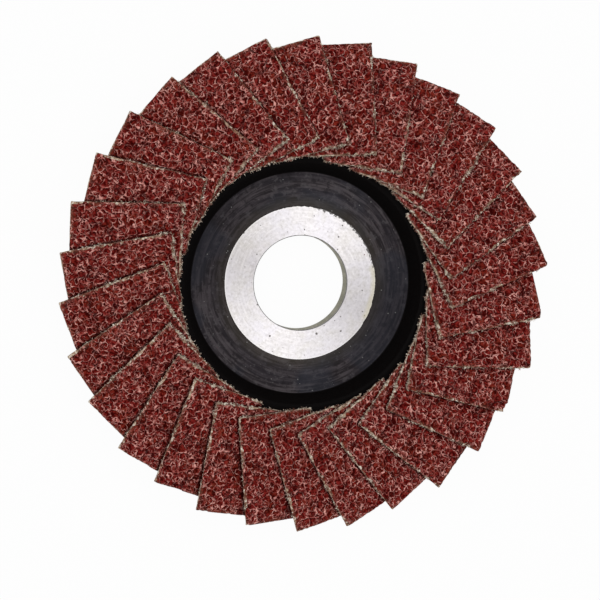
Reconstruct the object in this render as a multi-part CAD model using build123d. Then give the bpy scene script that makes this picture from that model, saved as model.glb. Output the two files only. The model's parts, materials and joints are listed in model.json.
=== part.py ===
"""Flap disc for an angle grinder: thirty overlapping flaps of coated abrasive cloth on a moulded plate.

Millimetres. The origin is on the bore axis at the hub's back face, where the grinder's flange seats.
+Z points to the abrasive side, so the disc lies on its hub with the flaps up.
Headings are clockwise degrees seen from +Z, counted from +Y, the way the flaps follow one another.
"""

from build123d import *

import math
import os
import random

# Bore ring, a turned metal insert that the hub is moulded around
BORE_RADIUS = 11.115  # for a 22.23 mm arbor
BORE_EDGE_BREAK = 0.15
RING_RADIUS = 18.0
RING_THICKNESS = 4.4
RING_GROOVE_DEPTH = 0.8  # the vee groove round the ring's rim keys it to the hub
RING_GROOVE_WIDTH = 1.6
RING_BOND_GAP = 0.02  # between the ring and the plastic round it

# Backing plate, moulded with a depressed centre
HUB_FACE_RADIUS = 26.0  # flat annulus that the clamping nut stands in
HUB_BACK_RADIUS = 27.0
HUB_DEPTH = 5.9  # the flange's back stands this far above the hub's back
FLANGE_THICKNESS = 2.8
PLATE_RADIUS = 51.0
WALL_FLARE = 0.55  # the wall between hub and flange leans out this much for each unit of height
RECESS_FOOT_CHAMFER = 0.3
RECESS_LIP_CHAMFER = 0.4
HUB_BACK_CHAMFER = 0.8
FLANGE_ROOT_CHAMFER = 1.2  # left in the inner corner between the wall and the flange's back
RIM_CHAMFER = 0.6

# Flaps, rectangles cut from one roll of cloth
FLAP_COUNT = 30
FLAP_LENGTH = 25.5
FLAP_WIDTH = 17.9
FLAP_THICKNESS = 1.25
FLAP_INNER_GAP = 0.3  # between one flap and the next at their inner ends, measured along Z
FLAP_OUTER_GAP = 0.8  # the stiff cloth stands more open towards the outer ends
FLAP_SETBACK = 0.65  # from the recess's mouth to the flaps' inner ends
FLAP_LEAD_OVERHANG = 0.3  # the buried long edge lies this far past the line through the axis
FIRST_HEADING = -15.0  # of flap_01's long edges

# The flaps are laid by a machine that is never quite exact
LAY_SEED = 41
LAY_SKEW = 1.6  # degrees each way
LAY_HEADING = 0.45  # degrees each way
LAY_SHIFT = 0.45  # along the flap, each way

# Worn outer corners of a few flaps
WORN_CORNER_RADII = {8: 0.8, 9: 1.3, 10: 0.9, 11: 1.2}

# Adhesive bed, resin that the flaps are pressed into
BED_THICKNESS = 0.5  # under the flaps' buried edges
BED_INSET = 1.9  # from the flaps' inner ends
BED_RIM_INSET = 3.0  # from the plate's rim
BOND_GAP = 0.05  # between the resin and each flap

HUB_FACE_Z = RING_THICKNESS  # the ring is flush with the hub on both sides
FLANGE_FACE_Z = HUB_DEPTH + FLANGE_THICKNESS
RECESS_MOUTH_RADIUS = HUB_FACE_RADIUS + WALL_FLARE * (FLANGE_FACE_Z - HUB_FACE_Z)
FLAP_INNER_REACH = RECESS_MOUTH_RADIUS + FLAP_SETBACK
BED_INNER_RADIUS = FLAP_INNER_REACH + BED_INSET
BED_OUTER_RADIUS = PLATE_RADIUS - BED_RIM_INSET
SEAT_Z = FLANGE_FACE_Z + BED_THICKNESS
PITCH = 360 / FLAP_COUNT
CROWN_HEIGHT = FLAP_THICKNESS + FLAP_OUTER_GAP  # of the resin's highest tooth, with room to spare


def turned(corners):
    """Solid of revolution about Z from ((radius, height), cut) corners.

    A corner with a cut is chamfered by that much along both of its sides.
    """
    points = []
    for index, (corner, cut) in enumerate(corners):
        here = Vector(corner[0], 0, corner[1])
        if cut:
            for (radius, height), _ in (corners[index - 1], corners[(index + 1) % len(corners)]):
                points.append(here + (Vector(radius, 0, height) - here).normalized() * cut)
        else:
            points.append(here)
    return revolve(make_face(Polyline(*points, close=True)), Axis.Z)


def make_bore_ring():
    """Ring with a broken front edge at the bore and a keying vee groove round its rim."""
    middle = RING_THICKNESS / 2
    return turned(
        [
            ((BORE_RADIUS, 0), 0),
            ((RING_RADIUS, 0), 0),
            ((RING_RADIUS, middle - RING_GROOVE_WIDTH / 2), 0),
            ((RING_RADIUS - RING_GROOVE_DEPTH, middle), 0),
            ((RING_RADIUS, middle + RING_GROOVE_WIDTH / 2), 0),
            ((RING_RADIUS, RING_THICKNESS), 0),
            ((BORE_RADIUS, RING_THICKNESS), BORE_EDGE_BREAK),
        ]
    )


def make_backing_plate():
    """Hub, flared wall and flange in one moulding, with a ridge inside the hub that fills the ring's groove."""
    seat_radius = RING_RADIUS + RING_BOND_GAP
    middle = RING_THICKNESS / 2
    flange_root_radius = HUB_BACK_RADIUS + WALL_FLARE * HUB_DEPTH
    return turned(
        [
            ((seat_radius, 0), 0),
            ((HUB_BACK_RADIUS, 0), HUB_BACK_CHAMFER),
            ((flange_root_radius, HUB_DEPTH), FLANGE_ROOT_CHAMFER),
            ((PLATE_RADIUS, HUB_DEPTH), RIM_CHAMFER),
            ((PLATE_RADIUS, FLANGE_FACE_Z), RIM_CHAMFER),
            ((RECESS_MOUTH_RADIUS, FLANGE_FACE_Z), RECESS_LIP_CHAMFER),
            ((HUB_FACE_RADIUS, HUB_FACE_Z), RECESS_FOOT_CHAMFER),
            ((seat_radius, HUB_FACE_Z), 0),
            ((seat_radius, middle + RING_GROOVE_WIDTH / 2), 0),
            ((seat_radius - RING_GROOVE_DEPTH, middle), 0),
            ((seat_radius, middle - RING_GROOVE_WIDTH / 2), 0),
        ]
    )


def lay_flap(number):
    """How one flap lies: its nominal heading, its own heading and skew, and its shift along itself."""
    drift = random.Random(LAY_SEED * FLAP_COUNT + number)
    nominal = FIRST_HEADING + PITCH * (number - 1)
    heading = nominal + drift.uniform(-LAY_HEADING, LAY_HEADING)
    skew = drift.uniform(-LAY_SKEW, LAY_SKEW)
    shift = drift.uniform(-LAY_SHIFT, LAY_SHIFT)
    return nominal, heading, skew, shift


def flap_corner(lay, along, across, grow=0.0):
    """Plan position of a flap's corner.

    along is 0 at the inner end and 1 at the outer one. across is 0 at the buried long edge and 1 at the
    open one. grow moves the corner outwards by that distance both ways.
    """
    _, heading, skew, shift = lay
    u = (along - 0.5) * (FLAP_LENGTH + 2 * grow)
    v = (across - 0.5) * (FLAP_WIDTH + 2 * grow)
    local = Vector(v, u, 0).rotate(Axis.Z, -skew)
    centre = Vector(FLAP_WIDTH / 2 - FLAP_LEAD_OVERHANG, FLAP_INNER_REACH + FLAP_LENGTH / 2 + shift, 0)
    return (centre + local).rotate(Axis.Z, -heading)


def underside(lay, point):
    """Height of the coil of flaps over a plan point: it climbs one layer for each pitch clockwise."""
    outwards = (math.hypot(point.X, point.Y) - FLAP_INNER_REACH) / FLAP_LENGTH
    layer = FLAP_THICKNESS + FLAP_INNER_GAP + (FLAP_OUTER_GAP - FLAP_INNER_GAP) * outwards
    clockwise = math.degrees(math.atan2(point.X, point.Y)) - lay[0]
    turn = (clockwise + 180) % 360 - 180
    return SEAT_Z + layer * turn / PITCH


def sheet(lay, low, high, grow=0.0):
    """Twisted slab under one flap's outline, from low to high measured from the flap's underside."""
    ends = []
    for along in (0, 1):
        lead, trail = (flap_corner(lay, along, across, grow) for across in (0, 1))
        lead_z, trail_z = underside(lay, lead), underside(lay, trail)
        ends.append(
            Wire.make_polygon(
                [
                    (lead.X, lead.Y, lead_z + low),
                    (trail.X, trail.Y, trail_z + low),
                    (trail.X, trail.Y, trail_z + high),
                    (lead.X, lead.Y, lead_z + high),
                ]
            )
        )
    return Solid.make_loft(ends, ruled=True)


def worn_corner(lay, radius):
    """Upright prism that takes a flap's outer open corner down to a round."""
    margin = radius
    corner = flap_corner(lay, 1, 1)
    outline = Rectangle(radius + margin, radius + margin, align=(Align.MAX, Align.MAX))
    outline -= Pos(-radius - margin, -radius - margin) * Circle(radius)
    tool = extrude(Pos(margin, margin) * outline, amount=2 * SEAT_Z)
    turn = -(lay[1] + lay[2])
    return Pos(corner.X, corner.Y, 0) * Rot(0, 0, turn) * tool


def make_flap(number):
    """One flap of abrasive cloth, with its outer corner worn where it is."""
    lay = lay_flap(number)
    flap = sheet(lay, 0, FLAP_THICKNESS)
    if number in WORN_CORNER_RADII:
        flap = flap - worn_corner(lay, WORN_CORNER_RADII[number])
    return flap


def make_adhesive_bed():
    """Ring of resin whose saw-tooth top fills the wedge under every flap, up to the next flap's edge."""
    blank_height = BED_THICKNESS + 2 * CROWN_HEIGHT
    ring = Cylinder(BED_OUTER_RADIUS, blank_height, align=(Align.CENTER, Align.CENTER, Align.MIN))
    ring -= Cylinder(BED_INNER_RADIUS, blank_height, align=(Align.CENTER, Align.CENTER, Align.MIN))
    bed = Pos(0, 0, FLANGE_FACE_Z) * ring
    for number in range(1, FLAP_COUNT + 1):
        bed -= sheet(lay_flap(number), -BOND_GAP, blank_height, grow=BOND_GAP)
    return bed


def make_parts():
    """Every piece of the disc by name."""
    parts = {
        "bore_ring": make_bore_ring(),
        "backing_plate": make_backing_plate(),
        "adhesive_bed": make_adhesive_bed(),
    }
    for number in range(1, FLAP_COUNT + 1):
        parts[f"flap_{number:02d}"] = make_flap(number)
    return parts


os.makedirs("parts", exist_ok=True)
for name, piece in make_parts().items():
    export_step(piece, f"parts/{name}.step")
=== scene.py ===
"""Looks of a flap disc for an angle grinder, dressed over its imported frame.

Metres, in the frame's own axes: the origin is on the bore axis at the hub's back face, and +Z points to
the abrasive side. Sizes of fine detail are written in millimetres and turned to metres where they are used.
Each flap is one closed sheet of cloth with its coat of grain, laid over the twisted slab that the frame
gives it.
"""

import json
import logging
import math
from collections.abc import Callable, Iterable, Mapping
from dataclasses import dataclass, field
from enum import Enum
from functools import reduce

import bpy
import numpy as np
from mathutils import Matrix, Quaternion, Vector, noise

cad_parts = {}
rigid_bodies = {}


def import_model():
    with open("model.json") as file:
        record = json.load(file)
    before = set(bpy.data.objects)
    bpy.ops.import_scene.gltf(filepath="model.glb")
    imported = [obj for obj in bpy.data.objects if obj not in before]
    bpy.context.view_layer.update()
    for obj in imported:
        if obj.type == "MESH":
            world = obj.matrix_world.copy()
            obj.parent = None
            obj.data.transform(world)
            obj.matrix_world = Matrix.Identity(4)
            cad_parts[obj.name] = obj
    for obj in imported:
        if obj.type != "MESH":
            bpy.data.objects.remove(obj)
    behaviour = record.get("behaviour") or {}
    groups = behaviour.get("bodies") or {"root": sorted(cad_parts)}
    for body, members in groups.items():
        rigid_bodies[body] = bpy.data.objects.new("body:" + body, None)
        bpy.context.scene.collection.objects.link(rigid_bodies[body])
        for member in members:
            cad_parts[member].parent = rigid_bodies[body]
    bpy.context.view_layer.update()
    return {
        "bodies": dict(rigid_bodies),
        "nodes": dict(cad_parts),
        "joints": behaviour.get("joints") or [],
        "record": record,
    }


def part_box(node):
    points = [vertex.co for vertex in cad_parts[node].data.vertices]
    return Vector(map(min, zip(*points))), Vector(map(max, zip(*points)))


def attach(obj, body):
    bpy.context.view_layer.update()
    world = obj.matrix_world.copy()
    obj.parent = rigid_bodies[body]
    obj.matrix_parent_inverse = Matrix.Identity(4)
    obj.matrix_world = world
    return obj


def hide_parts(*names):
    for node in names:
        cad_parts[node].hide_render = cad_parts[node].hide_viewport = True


MM = 0.001
TOUCH = 1e-5  # metres within which two vertices stand at one place
IMAGE_SIDE = 600  # pixels each way
WHITE = (1.0, 1.0, 1.0, 1.0)

Socket = bpy.types.NodeSocket
Material = bpy.types.Material
Object = bpy.types.Object
Tree = bpy.types.GeometryNodeTree

log = logging.getLogger("flap_disc")


# Node building


def paint(*channels: float) -> tuple[float, float, float, float]:
    """Turn a display colour into the linear colour that a shader works with.

    Args:
        channels: Red, green and blue, from 0 to 255.

    Returns:
        Linear red, green, blue and an alpha of 1.
    """
    shares = [channel / 255 for channel in channels]
    return *(s / 12.92 if s <= 0.04045 else ((s + 0.055) / 1.055) ** 2.4 for s in shares), 1.0


class Signal:
    """A value that runs through a node tree. Python's operators on a number add Math nodes."""

    def __init__(self, bench: "Bench", socket: Socket) -> None:
        """Wrap one output socket of the bench's tree."""
        self.bench = bench
        self.socket = socket

    def __add__(self, other: "Number") -> "Signal":
        """Sum."""
        return self.bench.maths("ADD", self, other)

    __radd__ = __add__

    def __sub__(self, other: "Number") -> "Signal":
        """Difference."""
        return self.bench.maths("SUBTRACT", self, other)

    def __rsub__(self, other: "Number") -> "Signal":
        """Difference from a number on the left."""
        return self.bench.maths("SUBTRACT", other, self)

    def __mul__(self, other: "Number") -> "Signal":
        """Product."""
        return self.bench.maths("MULTIPLY", self, other)

    __rmul__ = __mul__

    def __truediv__(self, other: "Number") -> "Signal":
        """Quotient."""
        return self.bench.maths("DIVIDE", self, other)

    def __pow__(self, other: "Number") -> "Signal":
        """Power."""
        return self.bench.maths("POWER", self, other)

    def __gt__(self, other: "Number") -> "Signal":
        """1 where this is the greater, 0 elsewhere."""
        return self.bench.maths("GREATER_THAN", self, other)

    def __abs__(self) -> "Signal":
        """Size without its sign."""
        return self.bench.maths("ABSOLUTE", self)

    def ease(self, low: float, high: float) -> "Signal":
        """Smooth step from 0 at low to 1 at high."""
        inputs = {"Value": self, "From Min": low, "From Max": high}
        return self.bench.signal("ShaderNodeMapRange", inputs, interpolation_type="SMOOTHSTEP")


Number = Signal | float
Feed = Signal | Socket | float | int | bool | str | tuple | bpy.types.ID
Tone = Signal | Socket | tuple[float, float, float]
Key = str | int
Inputs = Mapping[Key, Feed] | None


class Bench:
    """Adds, sets and links the nodes of one tree."""

    def __init__(self, tree: bpy.types.NodeTree) -> None:
        """Work on a tree."""
        self.tree = tree

    def socket(self, sockets: Iterable[Socket], key: Key) -> Socket:
        """Find a socket.

        Args:
            sockets: A node's inputs or outputs.
            key: Its index, or its identifier or name among those in use.

        Returns:
            The socket.
        """
        if isinstance(key, int):
            return sockets[key]
        return next(s for s in sockets if s.enabled and key in (s.identifier, s.name))

    def node(self, kind: str, inputs: Inputs = None, **settings: object) -> bpy.types.Node:
        """Add one node.

        Args:
            kind: Blender's type name for the node.
            inputs: Values or links by socket.
            settings: Its properties, set before its sockets are read.

        Returns:
            The node.
        """
        made = self.tree.nodes.new(kind)
        for name, value in settings.items():
            setattr(made, name, value)
        for key, value in (inputs or {}).items():
            socket = self.socket(made.inputs, key)
            if isinstance(value, (Signal, Socket)):
                self.tree.links.new(value.socket if isinstance(value, Signal) else value, socket)
            else:
                socket.default_value = value
        return made

    def out(self, kind: str, inputs: Inputs = None, output: Key = 0, **settings: object) -> Socket:
        """Add one node and give one of its outputs."""
        return self.socket(self.node(kind, inputs, **settings).outputs, output)

    def signal(self, kind: str, inputs: Inputs = None, output: Key = 0, **settings: object) -> Signal:
        """Add one node and give one of its outputs as a signal."""
        return Signal(self, self.out(kind, inputs, output, **settings))

    def maths(self, operation: str, *values: Number, clamp: bool = False) -> Signal:
        """Add a Math node."""
        return self.signal("ShaderNodeMath", dict(enumerate(values)), operation=operation, use_clamp=clamp)

    def least(self, *values: Number) -> Signal:
        """Smallest of several numbers."""
        return reduce(lambda one, other: self.maths("MINIMUM", one, other), values)

    def most(self, *values: Number) -> Signal:
        """Greatest of several numbers."""
        return reduce(lambda one, other: self.maths("MAXIMUM", one, other), values)

    def mix(self, factor: Number, low: Number, high: Number) -> Signal:
        """Number between two numbers."""
        inputs = {"Factor_Float": factor, "A_Float": low, "B_Float": high}
        return self.signal("ShaderNodeMix", inputs, "Result_Float", data_type="FLOAT")

    def vectors(self, operation: str, *values: Feed) -> Socket:
        """Add a Vector Math node."""
        return self.out("ShaderNodeVectorMath", dict(enumerate(values)), operation=operation)

    def scaled(self, vector: Feed, factor: Number) -> Socket:
        """Scale a vector."""
        return self.out("ShaderNodeVectorMath", {"Vector": vector, "Scale": factor}, operation="SCALE")

    def parts(self, vector: Feed) -> list[Signal]:
        """Take a vector apart."""
        return [Signal(self, output) for output in self.node("ShaderNodeSeparateXYZ", {0: vector}).outputs]

    def joined(self, x: Number, y: Number, z: Number = 0.0) -> Socket:
        """Put a vector together."""
        return self.out("ShaderNodeCombineXYZ", {0: x, 1: y, 2: z})

    def tint(self, factor: Number, low: Tone, high: Tone, way: str = "MIX") -> Socket:
        """Colour between two colours, or another blend of them.

        Args:
            factor: How much of the second colour there is.
            low: A link, or a display colour from 0 to 255.
            high: The same.
            way: The blend.

        Returns:
            The colour.
        """
        low, high = (paint(*tone) if isinstance(tone, tuple) else tone for tone in (low, high))
        inputs = {"Factor_Float": factor, "A_Color": low, "B_Color": high}
        return self.out("ShaderNodeMix", inputs, "Result_Color", data_type="RGBA", blend_type=way)

    def layered(self, colour: Tone, *layers: tuple) -> Socket:
        """Lay colours over one another.

        Args:
            colour: The lowest colour.
            layers: How much of each next one there is, the colour and, where it isn't plain, the blend.

        Returns:
            The colour that they come to.
        """
        for factor, tone, *way in layers:
            colour = self.tint(factor, colour, tone, *way)
        return colour

    def cloud(
        self, place: Feed, size: float, detail: float = 2.0, roughness: float = 0.5, flat: bool = False
    ) -> Signal:
        """Noise from 0 to 1 whose blobs have about the given size, in the place's own unit."""
        inputs = {"Vector": place, "Scale": 1 / size, "Detail": detail, "Roughness": roughness}
        return self.signal("ShaderNodeTexNoise", inputs, "Fac", noise_dimensions="2D" if flat else "3D")

    def cells(self, place: Feed, size: float, feature: str = "F1", flat: bool = False) -> Signal:
        """Measure Voronoi cells.

        Args:
            place: Where to measure.
            size: About how large a cell is, in the place's own unit.
            feature: What is measured.
            flat: Whether the cells lie in a plane.

        Returns:
            A distance in cells.
        """
        inputs = {"Vector": place, "Scale": 1 / size}
        settings = {"feature": feature, "voronoi_dimensions": "2D" if flat else "3D"}
        return self.signal("ShaderNodeTexVoronoi", inputs, "Distance", **settings)

    def attribute(self, name: str, kind: str = "FLOAT") -> Signal:
        """Read an attribute of the mesh, in a shader's tree."""
        output = "Vector" if kind == "FLOAT_VECTOR" else "Fac"
        return self.signal("ShaderNodeAttribute", output=output, attribute_name=name)


class Grower(Bench):
    """Bench for a geometry tree, whose named inputs carry its sizes and the seed of its random draws."""

    def __init__(self, name: str, sizes: Mapping[str, float | int]) -> None:
        """Start the tree.

        Args:
            name: The tree's name.
            sizes: Its inputs by name, in metres and radians. A whole number makes a whole-number input.
        """
        super().__init__(bpy.data.node_groups.new(name, "GeometryNodeTree"))
        add = self.tree.interface.new_socket
        add("Geometry", in_out="INPUT", socket_type="NodeSocketGeometry")
        for title, value in sizes.items():
            kind = "NodeSocketInt" if isinstance(value, int) else "NodeSocketFloat"
            add(title, in_out="INPUT", socket_type=kind).default_value = value
        add("Geometry", in_out="OUTPUT", socket_type="NodeSocketGeometry")
        outputs = self.node("NodeGroupInput").outputs
        self.mesh = outputs["Geometry"]
        self.given = {title: Signal(self, outputs[title]) for title in sizes}

    def attribute(self, name: str, kind: str = "FLOAT") -> Signal:
        """Read an attribute of the mesh."""
        return self.signal("GeometryNodeInputNamedAttribute", {"Name": name}, "Attribute", data_type=kind)

    def stored(self, geometry: Feed, name: str, value: Feed, domain: str) -> Socket:
        """Write a number on a geometry as an attribute."""
        inputs = {"Geometry": geometry, "Name": name, "Value": value}
        return self.out("GeometryNodeStoreNamedAttribute", inputs, data_type="FLOAT", domain=domain)

    def chance(self, low: Feed, high: Feed, salt: int, kind: str = "FLOAT") -> Signal:
        """Random value between two values at each point. The salt sets it apart from the other draws."""
        inputs = {"Min": low, "Max": high, "Seed": self.given["Seed"] + float(salt)}
        return self.signal("FunctionNodeRandomValue", inputs, "Value", data_type=kind)

    def moved(self, geometry: Feed, offset: Feed) -> Socket:
        """Shift the points of a geometry."""
        return self.out("GeometryNodeSetPosition", {"Geometry": geometry, "Offset": offset})

    def lump(self) -> Socket:
        """Rough ball of radius 1."""
        return self.out("GeometryNodeMeshIcoSphere", {"Radius": 1.0, "Subdivisions": 1})

    def tube(self, curve: Feed, sides: int, radius: Number, swell: Feed = 1.0) -> Socket:
        """Tube along a curve, with closed ends.

        Args:
            curve: The curve.
            sides: How many sides the tube has.
            radius: Its radius.
            swell: What the radius is multiplied by along the curve.

        Returns:
            The tube's mesh.
        """
        hoop = self.out("GeometryNodeCurvePrimitiveCircle", {"Resolution": sides, "Radius": radius})
        inputs = {"Curve": curve, "Profile Curve": hoop, "Scale": swell, "Fill Caps": True}
        return self.out("GeometryNodeCurveToMesh", inputs)

    def strewn(self, points: Feed, shape: Feed, turn: Feed, scale: Feed, kept: Feed = True) -> Socket:
        """Set copies of a shape on points.

        Args:
            points: The points.
            shape: What is copied.
            turn: How each copy is turned.
            scale: How much each is scaled.
            kept: Where there is a copy.

        Returns:
            The copies, as instances.
        """
        inputs = {"Points": points, "Selection": kept, "Instance": shape, "Rotation": turn, "Scale": scale}
        return self.out("GeometryNodeInstanceOnPoints", inputs)

    def end(self, geometry: Feed, *finishes: tuple[Material, Feed]) -> Tree:
        """End the tree in plain geometry with its materials.

        Args:
            geometry: What the tree has made.
            finishes: Each material and where it goes, a later one over an earlier.

        Returns:
            The tree.
        """
        done = self.out("GeometryNodeRealizeInstances", {"Geometry": geometry})
        for material, where in finishes:
            inputs = {"Geometry": done, "Selection": where, "Material": material}
            done = self.out("GeometryNodeSetMaterial", inputs)
        self.node("NodeGroupOutput", {"Geometry": done})
        return self.tree


def material_of(name: str, shader: Callable[[Bench], Socket]) -> Material:
    """Make a material.

    Args:
        name: The material's name.
        shader: Adds the nodes and gives the shader that they end in.

    Returns:
        The material.
    """
    material = bpy.data.materials.new(name)
    material.use_nodes = True
    material.node_tree.nodes.clear()
    bench = Bench(material.node_tree)
    bench.node("ShaderNodeOutputMaterial", {"Surface": shader(bench)})
    return material


def linked(data: bpy.types.ID) -> Object:
    """Put data in the scene as an object of the same name.

    Args:
        data: A mesh, a light or a camera.

    Returns:
        The object.
    """
    made = bpy.data.objects.new(data.name, data)
    bpy.context.scene.collection.objects.link(made)
    return made


def grown(data: bpy.types.Mesh, tree: Tree, values: Mapping[str, int] | None = None) -> Object:
    """Run a geometry tree on a mesh, keep the result as a piece's plain mesh, and enter the piece.

    Args:
        data: The mesh that goes in, named as the piece.
        tree: The tree.
        values: The tree's inputs by name, where they aren't the tree's own.

    Returns:
        The piece, with no modifier.
    """
    piece = linked(data)
    modifier = piece.modifiers.new(tree.name, "NODES")
    modifier.node_group = tree
    sockets = {item.name: item.identifier for item in tree.interface.items_tree if item.in_out == "INPUT"}
    for name, value in (values or {}).items():
        modifier[sockets[name]] = value
    depsgraph = bpy.context.evaluated_depsgraph_get()
    result = bpy.data.meshes.new_from_object(
        piece.evaluated_get(depsgraph), preserve_all_data_layers=True, depsgraph=depsgraph
    )
    piece.modifiers.remove(modifier)
    piece.data = result
    bpy.data.meshes.remove(data)
    result.name = piece.name
    result.shade_smooth()
    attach(piece, "root")
    log.info("%s: %d faces", piece.name, len(result.polygons))
    return piece


# Finishes


@dataclass(frozen=True)
class GrainPattern:
    """Foam-like web that resin leaves over coarse grain, the same for relief and for colour.

    Lengths are in millimetres.
    """

    cell: float = 1.75
    loop: float = 2.1
    crumb: float = 0.95
    crack: float = 5.0
    ridge: float = 0.18
    wander: float = 0.6
    wander_size: float = 1.05
    # Offset of the painted shade band that lies on one side of each ridge, in millimetres.
    painted_ridge_shade_side: tuple[float, float, float] = (0.24, -0.2, 0.0)
    next_flap: tuple[float, float] = (41.3, 23.7)

    def place(self, bench: Bench, place: Feed) -> Socket:
        """Move each flap to its own stretch of the roll that all are cut from."""
        across, along, number = bench.parts(place)
        return bench.joined(across + number * self.next_flap[0], along + number * self.next_flap[1])

    def web(self, bench: Bench, roll: Feed) -> tuple[Signal, Signal, Signal, Signal]:
        """Measure the web at a place on the roll.

        Args:
            bench: Where the nodes are added.
            roll: Millimetres across and along the roll.

        Returns:
            Ridges, crumbs, cracks with painted shade on one side of each ridge, and long swell, each from 0
            to 1.
        """

        def patches(size: float, detail: float = 1.0) -> Signal:
            """Noise on the roll."""
            return bench.cloud(roll, size, detail, flat=True)

        def seam(place: Feed, size: float) -> Signal:
            """Millimetres from the nearest seam between cells."""
            return bench.cells(place, size, "DISTANCE_TO_EDGE", flat=True) * size

        bend = bench.out(
            "ShaderNodeTexNoise",
            {"Vector": roll, "Scale": 1 / self.wander_size, "Detail": 1.0, "Roughness": 0.5},
            "Color",
            noise_dimensions="2D",
        )
        shift = bench.scaled(bench.vectors("SUBTRACT", bend, (0.5, 0.5, 0.5)), self.wander * 2)
        bent = bench.vectors("ADD", roll, shift)
        share = patches(2.6)
        strength = bench.mix(patches(1.2, 2.0).ease(0.38, 0.54), 0.3, 1.0)
        walls = seam(bent, self.cell).ease(self.ridge * 1.15, 0.02) * strength
        off_loop = abs(bench.cells(bent, self.loop, flat=True) * self.loop - self.loop * 0.3)
        loops = off_loop.ease(self.ridge * 0.85, 0.03) * share.ease(0.46, 0.54)
        seams = seam(bent, self.crumb).ease(self.ridge * 0.7, 0.02) * share.ease(0.5, 0.4) * 0.6
        ridges = bench.most(walls, loops, seams)
        # Painted shade: a dark band along one side of each ridge, which gives the web an embossed look.
        beside = seam(bench.vectors("ADD", bent, self.painted_ridge_shade_side), self.cell)
        painted_ridge_shade = beside.ease(self.ridge * 1.3, 0.02)
        crumbs = bench.cells(roll, self.crumb, flat=True).ease(0.5, 0.1) * patches(1.1).ease(0.5, 0.64)
        swell = patches(3.2)
        splits = seam(bench.vectors("ADD", bent, shift), self.crack).ease(0.34, 0.08)
        cracks_and_ridge_shade = bench.most(splits * swell.ease(0.56, 0.44), painted_ridge_shade * strength * (1 - ridges) * 0.95)
        return ridges, crumbs, cracks_and_ridge_shade, swell


class Finish:
    """A material made of nodes. Each finish fills in shader()."""

    name: str

    def shader(self, bench: Bench) -> Socket:
        """Add this finish's nodes and give the shader that they end in."""
        raise NotImplementedError

    def made(self) -> Material:
        """Make the material."""
        return material_of(self.name, self.shader)

    def object_place(self, bench: Bench) -> Socket:
        """Place on the object in millimetres."""
        return bench.scaled(bench.out("ShaderNodeTexCoord", output="Object"), 1 / MM)

    def surface(
        self, bench: Bench, colour: Feed, roughness: Number, bump: tuple[Signal, float], more: Inputs = None
    ) -> Socket:
        """Add a surface shader with a bump.

        Args:
            bench: Where the nodes are added.
            colour: Its colour.
            roughness: How rough it is, from 0 to 1.
            bump: The bump's height from 0 to 1, and what a height of 1 stands for in millimetres.
            more: The shader's other inputs by name.

        Returns:
            The shader's output.
        """
        height, depth = bump
        bent = bench.out("ShaderNodeBump", {"Strength": 1.0, "Distance": depth * MM, "Height": height})
        inputs = {"Base Color": colour, "Roughness": roughness, "Normal": bent, **(more or {})}
        return bench.out("ShaderNodeBsdfPrincipled", inputs)


@dataclass(frozen=True)
class GrainCoat(Finish):
    """Red-brown resin-bonded grain: a pale web on dark red, with painted highlights on its ridges, painted
    shade beside them and a painted shadow by the covering flap.
    """

    pattern: GrainPattern
    length: float
    width: float
    name: str = "grain_coat"

    def shader(self, bench: Bench) -> Socket:
        """Add the coat's nodes.

        Args:
            bench: Where they are added.

        Returns:
            The shader's output.
        """
        place = bench.attribute("flap_place", "FLOAT_VECTOR")
        # Millimetres in plan from the covering flap's outline, where the painted shadow falls.
        step = bench.attribute("step_near")
        roll = self.pattern.place(bench, place)
        ridges, crumbs, cracks_and_ridge_shade, swell = self.pattern.web(bench, roll)
        across, along, _ = bench.parts(place)
        shade = bench.cloud(roll, 0.7, 2.0, 0.65, flat=True)
        painted_glint = bench.cloud(roll, 1.5, 2.0, 0.6, flat=True)
        patch = bench.cloud(roll, 4.5, flat=True)
        rust = patch.ease(0.46, 0.66) * 0.55
        deep = bench.tint(rust, (67, 3, 2), (70, 8, 1))
        flesh = bench.tint(rust, (133, 37, 33), (130, 45, 29))
        flank = bench.tint(rust, (147, 71, 61), (142, 73, 52))
        # Pale ridges that brighten to a painted highlight where the glint noise is high.
        crest = bench.tint(painted_glint.ease(0.36, 0.66), (168, 82, 75), (238, 172, 161))
        edge = bench.least(self.width - across, along, self.length - along)
        rubbed = (edge + shade * 0.8).ease(1.5, 0.4) * patch.ease(0.38, 0.56)
        colour = bench.layered(
            bench.tint(shade.ease(0.36, 0.66), deep, flesh),
            (crumbs * 0.6, flank),
            (ridges.ease(0.08, 0.85), crest),
            (swell.ease(0.54, 0.4) * 0.5, (206, 196, 198), "MULTIPLY"),
            # Dark cracks in the coat, with painted shade on one side of each ridge.
            (cracks_and_ridge_shade * 0.85, (50, 3, 2)),
            (rubbed * 0.32, (138, 96, 78)),
            # Painted shadow: a dark band on the flap along the edge of the flap that covers it.
            ((step - shade * 0.5).ease(0.35, -0.2) * 0.7, (22, 5, 3)),
        )
        height = ridges * 0.6 + crumbs * 0.3 + shade * 0.3 - cracks_and_ridge_shade * 0.6
        gloss = {"Specular IOR Level": 0.015, "Coat Weight": ridges * 0.2, "Coat Roughness": 0.35}
        return self.surface(bench, colour, 0.42 + shade * 0.3, (height, 0.16), gloss)


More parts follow.
